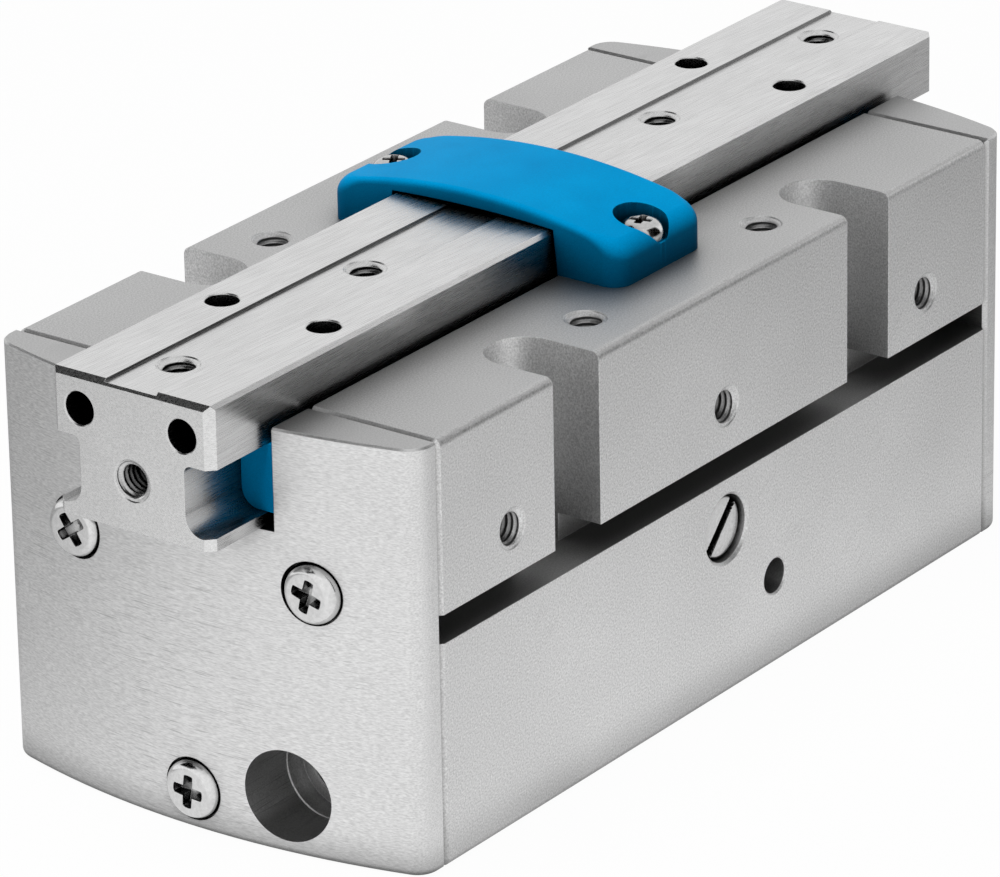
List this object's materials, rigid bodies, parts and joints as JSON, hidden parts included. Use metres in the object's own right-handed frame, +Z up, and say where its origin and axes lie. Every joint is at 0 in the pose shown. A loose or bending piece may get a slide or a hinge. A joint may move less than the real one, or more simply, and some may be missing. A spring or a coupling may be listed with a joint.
{
  "type": "pneumatic parallel gripper",
  "caption": "Block-shaped parallel gripper: T-shaped steel jaws slide apart along the top, driven by pistons with racks and a pinion, under a blue arched cover.",
  "frame": {"origin": "centre of the housing's base", "axes": "+X along the jaws' travel towards the rear jaw, +Y to the left side, +Z up to the jaws"},
  "size_m": [0.1466, 0.06, 0.0604],
  "materials": {
    "anodised_aluminium": "fine satin, clear anodised",
    "brushed_aluminium": "brushed across the gripper, clear anodised",
    "ground_steel": "ground along the travel",
    "rail_steel": "hardened and ground",
    "blue_plastic": "satin moulded acetal",
    "nickel_steel": "nickel plated, polished",
    "piston_aluminium": "turned, hard anodised",
    "black_rubber": "moulded nitrile",
    "bronze": "sintered, oiled",
    "spring_steel": "phosphated",
    "magnet_metal": "nickel plated"
  },
  "bodies": {
    "housing": {"housing": "anodised_aluminium", "front_end_cap": "brushed_aluminium", "rear_end_cap": "brushed_aluminium", "front_cap_screws": "nickel_steel", "rear_cap_screws": "nickel_steel", "left_guide_rail": "rail_steel", "right_guide_rail": "rail_steel", "front_wipers": "blue_plastic", "rear_wipers": "blue_plastic", "bridge_cover": "blue_plastic", "bridge_cover_screws": "nickel_steel", "front_bumpers": "black_rubber", "rear_bumpers": "black_rubber", "front_bore_seals": "black_rubber", "rear_bore_seals": "black_rubber", "base_cover": "piston_aluminium", "base_cover_seal": "black_rubber", "base_cover_clip": "spring_steel", "pinion_axle": "rail_steel", "thrust_washers": "bronze", "side_plugs": "nickel_steel", "side_plug_seals": "black_rubber"},
    "front_jaw": {"front_jaw": "ground_steel", "front_carrier": "rail_steel", "front_piston": "piston_aluminium", "front_piston_seals": "black_rubber", "front_piston_magnet": "magnet_metal"},
    "rear_jaw": {"rear_jaw": "ground_steel", "rear_carrier": "rail_steel", "rear_piston": "piston_aluminium", "rear_piston_seals": "black_rubber", "rear_piston_magnet": "magnet_metal"},
    "pinion": {"pinion": "rail_steel", "pinion_bush": "bronze"}
  },
  "joints": [
    {"name": "front_jaw_slide", "type": "slide", "parent": "housing", "child": "front_jaw", "axis": [-1, 0, 0], "range_m": [0, 0.02]},
    {"name": "rear_jaw_slide", "type": "slide", "parent": "housing", "child": "rear_jaw", "axis": [1, 0, 0], "range_m": [0, 0.02]},
    {"name": "pinion_spin", "type": "hinge", "parent": "housing", "child": "pinion", "pos_m": [0, 0, 0.0195], "axis": [0, 0, 1], "range_deg": [-191, 0]}
  ],
  "couplings": [
    {"joint": "rear_jaw_slide", "follows": "front_jaw_slide", "ratio": 1},
    {"joint": "pinion_spin", "follows": "front_jaw_slide", "rad_per_m": -166.67}
  ]
}
